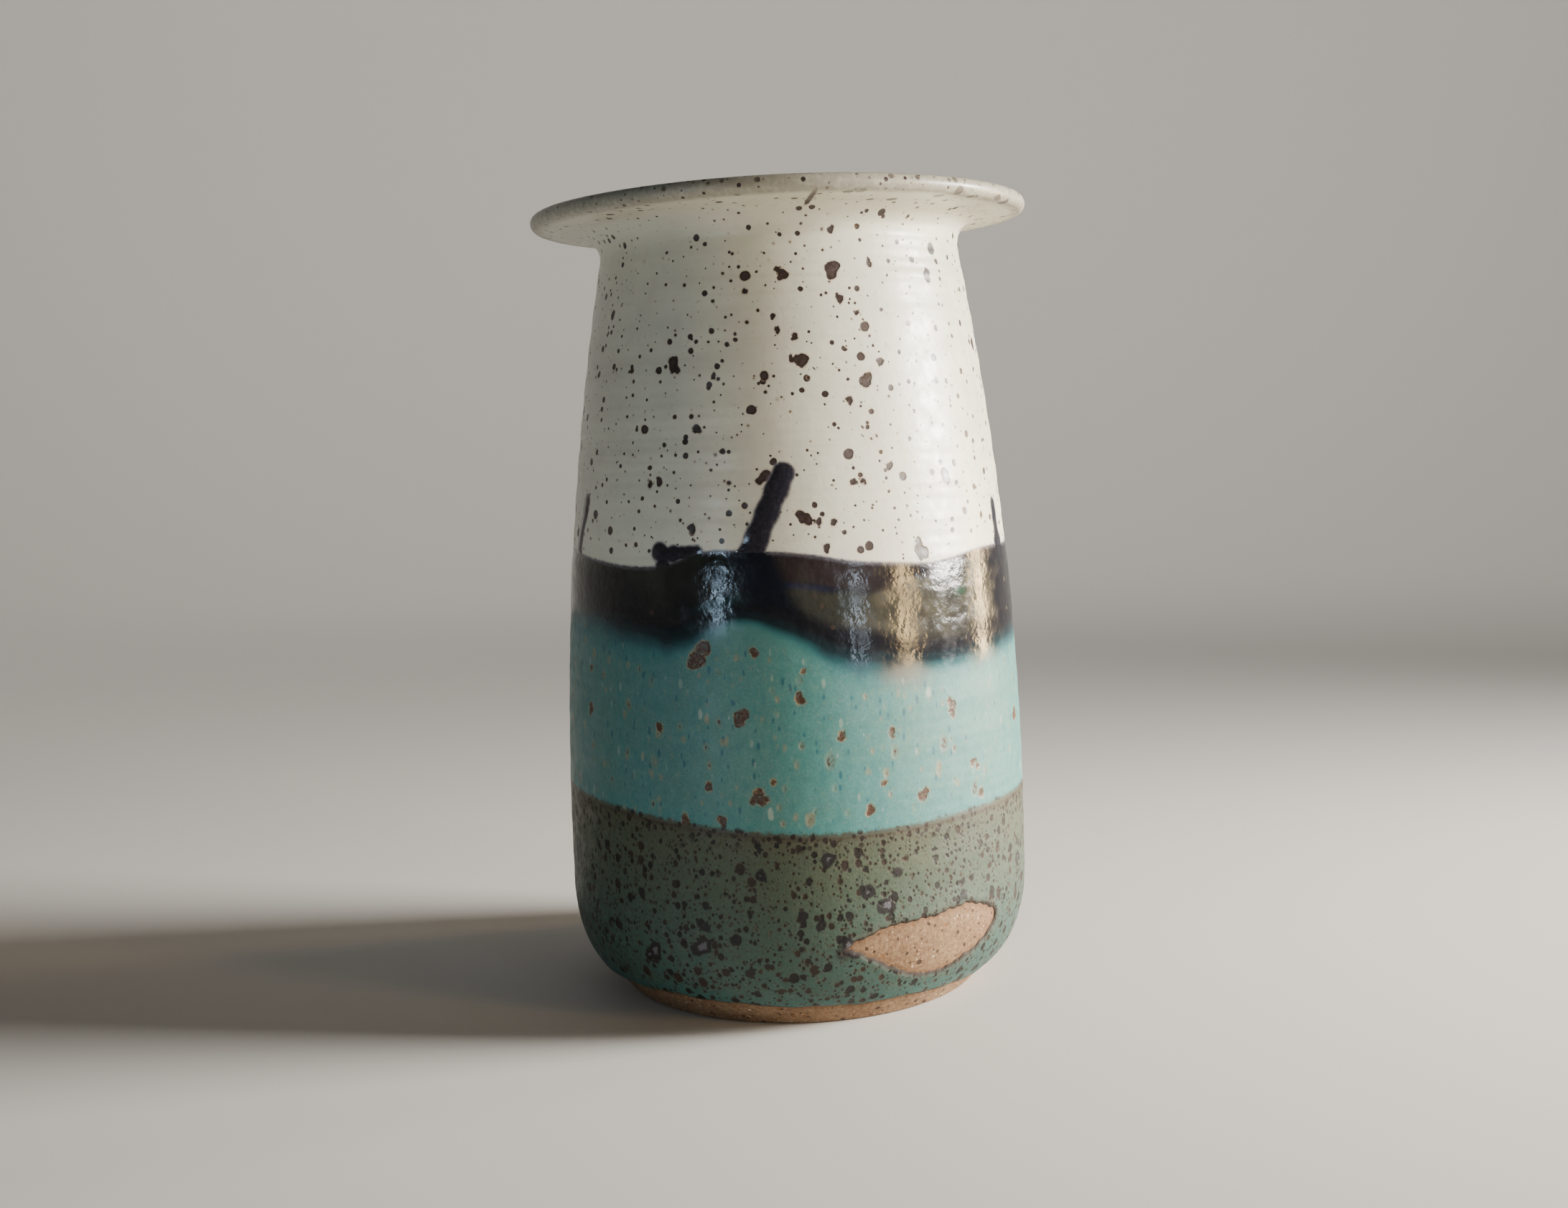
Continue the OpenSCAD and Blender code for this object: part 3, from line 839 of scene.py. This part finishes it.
def white_material(name, gloss=.36):
    t = Tree(name, WHITE)
    cloud, blush = t.noise(26, 3.1, 3, .55), t.noise(7, 21)
    fine = t.noise(2.2, 7.7, 3, .6)
    rings = t.noise(40, 5, stretch=(.5, .5, 16))
    t.tint(t.step(cloud, .35, .7), (.59, .575, .475))
    t.tint(t.mul(t.step(rings, .52, .72), .35), (.56, .525, .42))
    t.tint(t.mul(t.step(fine, .5, .75), .30), (.56, .515, .425))
    t.tint(t.mul(t.step(blush, .56, .74), .25), (.56, .49, .41))
    # Pin specks, small and middling iron spots, then the largest
    t.height = t.mul(t.noise(1.3, 1), .03)
    t.lift(t.mul(t.noise(6, 2), .10))
    iron = (.034, .021, .017)
    pale_iron = (.058, .038, .036)
    shine = t.step(t.noise(4, 9), .3, .7, gloss - .05, gloss + .08)
    for cell, small, large, soft, shift in ((2.4, .12, .50, .08, 11), (3.6, .25, 1, .10, 23),
                                            (7, .5, 1.8, .12, 37)):
        depth, seed, cover = t.spots(cell, small, large, soft, shift)
        halo = t.mul(t.step(depth, -.4, 0), t.step(seed, .45, .95, 0, .5))
        t.tint(halo, (.42, .29, .19))
        heart = t.mul(t.step(depth, .15, .7), t.step(seed, .2, .8))
        t.tint(cover, t.mix(heart, iron, pale_iron))
        t.dent(t.mul(t.step(depth, -.3, .5), .05))
    big = t.add(t.mark("spot"), t.jitter(1.4, 1.1, 31, 2, .6))
    t.tint(t.mul(t.fall(big, .1, .7), .4), (.45, .34, .25))
    heart = t.mul(t.fall(big, -1.1, -.35), t.step(t.noise(1.1, 5, 2, .6), .4, .62))
    t.tint(t.fall(big, -.12, .16), t.mix(heart, iron, pale_iron))
    t.dent(t.mul(t.fall(big, -.5, .3), .07))
    # The glaze is thin and greyer over the lip, and the lip is darkened further with painted shade.
    thin_glaze_and_shade = t.mul(t.mark("lip"), t.step(t.noise(1.6, 51, 3, .6), .10, .62, .45, 1))
    t.tint(t.mul(thin_glaze_and_shade, .70), (.190, .167, .128))
    _, _, cover = t.spots(2.8, .2, .75, .1, 67)
    t.tint(t.mul(cover, t.mark("lip")), iron)
    # Brush marks and the band soak a little way into the white.
    soak = t.jitter(1.3, .7, 13)
    brushed = t.fall(t.add(t.mark("brush"), soak), -.8, 1.2)
    banded = t.fall(t.add(t.mark("top_edge"), soak), -.6, 1.4)
    dark = t.math("MAXIMUM", brushed, banded)
    grain = t.step(t.noise(.9, 17, 2, .6), .4, .8)
    t.tint(t.mul(t.step(dark, 0, .6), .9), (.17, .155, .18))
    t.tint(t.step(dark, .22, .95), t.mix(grain, BRUSH_DARK, (.032, .028, .034)))
    shine = t.sub(shine, t.mul(dark, .14))
    return t.finish(shine, IOR=1.5, Specular_IOR_Level=.5)


def border_specks(t, share):
    """Iron gathers where the turquoise meets the grey."""
    _, _, cover = t.spots(2, .3, 1.1, .14, 91, (1, 1, .9), 1.6)
    t.tint(t.mul(cover, share), (.016, .010, .008))


def middle_material(name):
    t = Tree(name)
    t.colour = t.mark("paint", "Color")
    edge, under = t.mark("bottom_edge"), t.mark("grey_edge")
    is_band = t.step(edge, -3.5, 1.5)
    # Turquoise: cloudy, with blue and pale flecks, and rust spots in tan halos
    off_band = t.fall(edge, -7.5, -3)
    cloudy = t.mul(t.step(t.noise(3.2, 3, 3, .6), .35, .7), off_band)
    t.tint(t.mul(cloudy, .30), (.095, .26, .235))
    dusty = t.mul(t.step(t.noise(1.1, 8, 3, .65), .5, .72), off_band)
    t.tint(t.mul(dusty, .45), (.150, .245, .205))
    grain = t.mul(t.step(t.noise(.55, 77, 2, .7), .42, .72), off_band)
    t.tint(t.mul(grain, .42), (.030, .105, .105))
    t.height = t.mul(t.noise(1.6, 1), .035)
    t.lift(t.mul(t.noise(7, 2), .12))
    streaky = t.step(t.noise(1.9, 33, 3, .6, (1, 1, .32)), .50, .68)
    t.tint(t.mul(t.mul(streaky, off_band), .38), (.034, .150, .165))
    for cell, large, shift, share, tint in ((2.1, .55, 15, .75, (.016, .085, .125)),
                                            (3.4, .70, 25, .55, (.24, .31, .26)),
                                            (6.2, .85, 55, .62, (.33, .38, .32))):
        _, _, cover = t.spots(cell, .12, large, .16, shift, (1, 1, .42))
        t.tint(t.mul(t.mul(cover, off_band), share), tint)
    rust, ochre = (.055, .024, .013), (.27, .205, .105)
    for cell, small, large, shift, tall in ((4, .15, .8, 61, .7), (7.4, .4, 1.6, 71, .62)):
        depth, seed, _ = t.spots(cell, small, large, .14, shift, (1, 1, tall), 1.3)
        halo = t.mul(t.step(depth, -.7, .05), t.step(seed, .2, .8, .25, .8))
        t.tint(t.mul(t.mul(halo, off_band), .6), ochre)
        full = t.mul(t.step(depth, .12, .5), t.step(t.noise(1, 5, 2, .6), .35, .6))
        t.tint(t.mul(full, off_band), t.mix(t.step(seed, .3, .9), rust, (.115, .055, .026)))
        t.dent(t.mul(t.step(depth, -.3, .5), t.mul(off_band, .07)))
    big = t.add(t.mark("spot"), t.jitter(1.5, 1.9, 41, 3, .65))
    ragged = t.step(t.noise(2.2, 44, 3, .6), .4, .62, .15, .85)
    t.tint(t.mul(t.fall(big, -.1, .5), ragged), ochre)
    rusty = t.mul(t.fall(big, -.35, .15), t.step(t.noise(.8, 6, 2, .6), .3, .55, .6, 1))
    t.tint(rusty, rust)
    t.dent(t.mul(t.fall(big, -.9, .4), .12))
    # The band: dimpled glass, with iron specks that break its surface
    _, _, cover = t.spots(5.6, .2, .9, .15, 83)
    specks = t.mul(cover, t.step(edge, 2, 5))
    t.tint(t.mul(specks, .7), (.034, .018, .010))
    t.lift(t.mul(t.mul(t.noise(2.6, 4), .16), is_band))
    pale = t.mul(t.step(t.noise(9, 14, 3, .6, (1, 1, .35)), .55, .75), t.step(edge, 4, 8))
    t.tint(t.mul(pale, .14), (.10, .095, .08))
    # Edges: the top soaks into the white, and a brown line borders the grey.
    soak = t.jitter(1.1, 1.3, 13)
    above = t.step(t.add(t.mark("top_edge"), soak), -1, .85)
    t.tint(t.mul(t.mul(above, t.step(t.mark("brush"), -.4, .9)), .8), (.16, .145, .17))
    fringe = t.add(under, t.jitter(1.7, 2.6, 19))
    t.tint(t.step(fringe, .5, 1.9, .9, 0), (.052, .042, .026))
    border_specks(t, t.fall(under, .6, 2.6))
    matt = t.step(t.noise(4, 9), .3, .7, .38, .52)
    glassy = t.step(t.noise(5, 10, 3, .5), .35, .7, .13, .26)
    shiny = t.step(edge, -8, 0)
    rough = t.add(t.mul(matt, t.sub(1, shiny)), t.mul(glassy, shiny))
    rough = t.add(rough, t.mul(specks, .25))
    return t.finish(rough, IOR=1.5, Specular_IOR_Level=.33)


def grey_material(name):
    t = Tree(name, (.034, .080, .069))
    up, foot, leaf = t.mark("grey_edge"), t.mark("foot"), t.mark("leaf")
    t.tint(t.step(up, -46, -4), (.066, .082, .051))
    cloud = t.step(t.noise(9, 3, 3, .6), .35, .7)
    t.tint(t.mul(cloud, .5), (.048, .076, .056))
    t.tint(t.mul(t.step(t.noise(1.2, 8, 3, .65), .5, .72), .5), (.085, .102, .070))
    brown_top = t.add(up, t.mul(t.noise(8, 12), 5))
    t.tint(t.step(brown_top, -7, 3, 0, .55), (.070, .066, .040))
    # Above the foot the glaze has pooled, greener and thicker.
    pooled = t.add(foot, t.mul(t.noise(6, 14), 3))
    t.tint(t.step(pooled, 1.5, 8.5, .75, 0), (.030, .105, .094))
    halo = t.add(leaf, t.mul(t.noise(5, 16), 3.2))
    t.tint(t.step(halo, .8, 5, .62, 0), (.080, .072, .055))
    tip = t.add(t.mark("tip"), t.mul(t.noise(2, 2, 2, .6), 3))
    t.tint(t.step(tip, 2.5, 5.2, .85, 0), (.022, .020, .020))
    grain = t.step(t.noise(.55, 77, 2, .7), .42, .72)
    t.tint(t.mul(grain, .42), (.022, .032, .024))
    t.height = t.mul(t.noise(1.2, 1, 3, .6), .06)
    t.lift(t.mul(t.noise(6, 2), .12))
    rough = t.step(t.noise(3, 9), .3, .7, .40, .58)
    iron, rusty = (.0065, .0052, .0048), (.020, .012, .008)
    for cell, small, large, shift in ((1.25, .10, .42, 51), (1.7, .14, .58, 11),
                                      (2.4, .28, 1.05, 23), (3.7, .4, 1.6, 37)):
        depth, seed, cover = t.spots(cell, small, large, .12, shift, (1, 1, .85), 1.4)
        stain = t.mul(t.step(depth, -.4, 0), t.step(seed, .2, .9, .1, .5))
        t.tint(stain, (.052, .040, .025))
        t.tint(t.mul(cover, .96), t.mix(t.step(seed, .4, .9), iron, rusty))
        t.dent(t.mul(t.step(depth, -.3, .4), .07))
    big = t.add(t.mark("spot"), t.jitter(1.7, 2.2, 41, 3, .65))
    t.tint(t.step(big, -.1, .45, .97, 0), (.010, .008, .009))
    t.tint(t.mul(t.fall(big, -1.5, -1), .6), (.13, .13, .15))
    # Brown line along the foot, the leaf and the turquoise
    line = t.add(t.math("MINIMUM", foot, leaf), t.jitter(1.5, .8, 19))
    t.tint(t.step(line, .35, 1.15, .92, 0), (.028, .018, .013))
    rough = t.add(rough, t.step(line, .5, 1.6, .3, 0))
    fringe = t.add(up, t.jitter(1.7, 2.6, 19))
    t.tint(t.step(fringe, -1.8, .1, 0, .75), (.040, .028, .017))
    border_specks(t, t.step(up, -5.5, -1.5))
    return t.finish(rough, IOR=1.5, Specular_IOR_Level=.29)


def clay_material(name):
    t = Tree(name, (.160, .094, .050))
    t.tint(t.step(t.noise(14, 3, 3, .6), .3, .7), (.212, .133, .075))
    grain = t.noise(1.2, 5, 4, .75)
    t.tint(t.mul(t.step(grain, .47, .66), .75), (.285, .190, .115))
    t.tint(t.mul(t.fall(grain, .30, .46), .85), (.098, .052, .028))
    t.height = t.add(t.mul(t.noise(.7, 1, 4, .7), .17), t.mul(t.noise(3.5, 2, 3, .6), .16))
    for cell, small, large, shift, tint in (
            (1.6, .10, .36, 11, (.36, .25, .155)), (3.2, .15, .50, 23, (.50, .41, .30)),
            (1.9, .14, .55, 31, (.048, .024, .014)), (3.4, .25, .90, 47, (.026, .015, .011)),
            (3, .15, .7, 59, (.20, .085, .035))):
        depth, _, cover = t.spots(cell, small, large, .09, shift, (1, 1, 1), 1.5)
        t.tint(t.mul(cover, .85), tint)
        t.lift(t.mul(t.step(depth, -.2, .3), .06 if tint[0] > .5 else -.05))
    # Warmer and darker where the glaze ends
    near = t.math("MINIMUM", t.math("ABSOLUTE", t.mark("foot")), t.math("ABSOLUTE", t.mark("leaf")))
    near = t.add(near, t.mul(t.noise(2.5, 14, 2, .6), 1.2))
    t.tint(t.step(near, .5, 2.6, .55, 0), (.120, .056, .026))
    # The small hole is only a dark spot: painted shade inside it.
    t.tint(t.fall(t.mark("hole"), -.1, .3), (.02, .012, .01))
    return t.finish(t.step(grain, .3, .7, .82, .95), IOR=1.45, Specular_IOR_Level=.3)


# ---- the vase
def add(obj, material, node):
    obj.data.materials.append(material)
    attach(obj, "root")
    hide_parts(node)


RIM_SPLIT = 214.0     # height at which the white piece is parted, to keep each mesh light
at_height = outside.height_to_s
# The rows are closest where the edges of the glazes run.
sheet = Sheet(outside, outside.rows([
    (at_height(9.5), .5), (at_height(33), .8), (at_height(55), .9), (at_height(70), .65),
    (at_height(98), .95), (at_height(143), .6), (at_height(RIM_SPLIT), .95), (outside.s[-1], .55)]))
upper, below = sheet.split((sheet.quads, []), top_edge)
band, below = sheet.split(below, bottom_edge)
turquoise, grey = sheet.split(below, grey_edge)
grey, _ = sheet.split(grey, foot_edge)
grey, _ = sheet.split(grey, leaf_gap)
brushed = []
for stroke in STROKES:
    upper, part = sheet.split(upper, lambda a, z: stroke_gap(stroke, a, z))
    brushed.append(part)
upper, dab = sheet.split(upper, dab_gap)
is_rim = sheet.s[upper[0]].min(1) > at_height(RIM_SPLIT) - .01
rim_part = (upper[0][is_rim], [])
upper = (upper[0][~is_rim], upper[1])

white = white_material("white_glaze")
middle = middle_material("band_and_turquoise_glaze")
grey_mat = grey_material("grey_glaze")
brush_mat = white_material("brushed_oxide", .26)

add(skin("white_wall", sheet, upper, plain_coat, upper_marks, 2), white, "white_glaze")
add(skin("white_rim", sheet, rim_part, plain_coat, upper_marks, 3), white, "white_glaze")
add(skin("dark_band", sheet, band, band_coat, middle_marks, 4), middle, "dark_band_glaze")
add(skin("turquoise_coat", sheet, turquoise, plain_coat, middle_marks, 3), middle, "turquoise_glaze")
add(skin("grey_coat", sheet, grey, grey_coat, lower_marks, 2), grey_mat, "grey_glaze")
for number, part in enumerate(brushed, 1):
    add(skin(f"stroke_{number}", sheet, part, brush_coat, upper_marks, 1), brush_mat,
        f"brush_stroke_{number}")
add(skin("dab", sheet, dab, brush_coat, upper_marks, 1), brush_mat, "brush_dab")

inner_sheet = Sheet(inside, inside.rows([(30, .8), (inside.s[-1] - 60, 1.7), (inside.s[-1], 1.5)]))
add(skin("liner_coat", inner_sheet, (inner_sheet.quads, []), plain_coat, liner_marks, 2, inner=True),
    white_material("liner_glaze", .34), "liner_glaze")

at_body = body.height_to_s
from_joint = np.hypot(body.r - JOINT_R, body.z - joint_z) + (body.s < at_body(200)) * 1e3
joint_s = float(body.s[np.argmin(from_joint)])
ring_s = float(body.s[np.argmin(np.hypot(body.r - (FOOT_R - .3), body.z - .5))])
clay_sheet = Sheet(body, body.rows([
    (RING_R - 4, 2.4), (ring_s, .6), (ring_s + 14, .7), (at_body(44), 1.0),
    (at_body(218), 5.5), (joint_s + 40, .9), (body.s[-1] - 74, 7), (body.s[-1] - 40, 1.6),
    (body.s[-1], 5)]))
seen = at_body(40)


def clay_depth(angle, z, s):
    """Where a coat hides the clay, its coarse rows stay clear of the coat's waves."""
    return -.2 * smooth(s, seen + 4, seen + 12) * (1 - smooth(s, joint_s - 60, joint_s - 40)) \
        - .5 * smooth(s, joint_s + 20, joint_s + 34)


add(skin("clay", clay_sheet, (clay_sheet.quads, []), clay_depth, clay_marks, 2,
         inner=lambda s: s > joint_s, weight=lambda s: np.where(s < seen, 1.0, .05), closed=True),
    clay_material("bare_clay"), "clay_body")


# ---- camera, light and floor
PITCH, ROLL, YAW = 5.69, -1.98, -.21
CAMERA_BACK, CAMERA_UP = 2.196 * HEIGHT, .708 * HEIGHT
LENS, SENSOR = 38.34, 36


def add_camera():
    pitch, roll, yaw = (radians(v) for v in (PITCH, ROLL, YAW))
    ahead = Vector((sin(yaw) * cos(pitch), cos(yaw) * cos(pitch), -sin(pitch)))
    right = Vector((cos(yaw), -sin(yaw), 0))
    up = right.cross(ahead)
    x = right * cos(roll) + up * sin(roll)
    y = up * cos(roll) - right * sin(roll)
    data = bpy.data.cameras.new("camera")
    data.lens, data.sensor_width = LENS, SENSOR
    data.clip_start, data.clip_end = .02, 50
    matrix = Matrix((x, y, -ahead)).transposed().to_4x4()
    matrix.translation = (0, -CAMERA_BACK * MM, CAMERA_UP * MM)
    cam = add_object("camera", data)
    cam.matrix_world = matrix
    bpy.context.scene.camera = cam


def add_light(name, angle, lift, far, width, tall, power, spread, colour, aim=(0, 0, .10)):
    """A flat soft light at an angle around the vase, in metres and watts, turned to a point."""
    data = bpy.data.lights.new(name, "AREA")
    data.shape, data.size, data.size_y = "RECTANGLE", width, tall
    data.energy, data.color, data.spread = power, colour, radians(spread)
    a = radians(angle)
    obj = add_object(name, data)
    obj.location = (far * sin(a), -far * cos(a), lift)
    obj.rotation_euler = (Vector(aim) - obj.location).to_track_quat("-Z", "Y").to_euler()
    obj.visible_camera = False


def add_backdrop():
    """A pale round floor that turns up into a wall all round, in one smooth sweep."""
    far, bend, sides = 2.6, 1.0, 96
    line = [(.4, 0), (far - bend, 0)]
    line += [(far - bend + bend * sin(t), bend - bend * cos(t))
             for t in np.linspace(0, half_pi, 16)[1:]]
    line += [(far, 2.6)]
    n = len(line)
    around = [2 * pi * k / sides for k in range(sides)]
    points = [(r * cos(t), r * sin(t), z) for t in around for r, z in line]
    faces = [(i + k * n, i + 1 + k * n, i + 1 + (k + 1) % sides * n, i + (k + 1) % sides * n)
             for k in range(sides) for i in range(n - 1)]
    faces.append([k * n for k in range(sides)])
    mesh = bpy.data.meshes.new("backdrop")
    mesh.from_pydata(points, [], faces)
    for p in mesh.polygons:
        p.use_smooth = True
    mesh.materials.append(Tree("backdrop", (.54, .522, .495)).finish(.8))
    add_object("backdrop", mesh)


add_camera()
add_backdrop()
world = bpy.data.worlds.new("room")
world.use_nodes = True
sky = world.node_tree.nodes["Background"].inputs
sky["Color"].default_value, sky["Strength"].default_value = (.86, .90, 1.0, 1), .035
bpy.context.scene.world = world
add_light("sun_side", 87, .42, 1.4, .5, .36, 9.8, 50, (1.0, .965, .90), (0, 0, -.02))
# Narrow lights that the glassy band mirrors
add_light("window_left", -34, .13, .75, .02, .24, .08, 60, (.55, .78, 1.0))
add_light("window_right", 32, .13, .75, .02, .24, .06, 60, (.70, .85, 1.0))
add_light("warm_card", 57, .14, .75, .09, .26, .34, 60, (1.0, .68, .31))
add_light("warm_edge", 108, .14, .75, .09, .26, .50, 60, (1.0, .72, .36))
# Washes over the sweep, behind the vase and in front of it
add_light("wash_back", 180, 1.9, .8, 2.4, .5, 32, 150, (1.0, .97, .92), (0, 2.5, .45))
add_light("wash_front", 45, 1.9, .8, 2.0, .5, 5, 150, (1.0, .97, .92), (1.8, -1.8, .45))
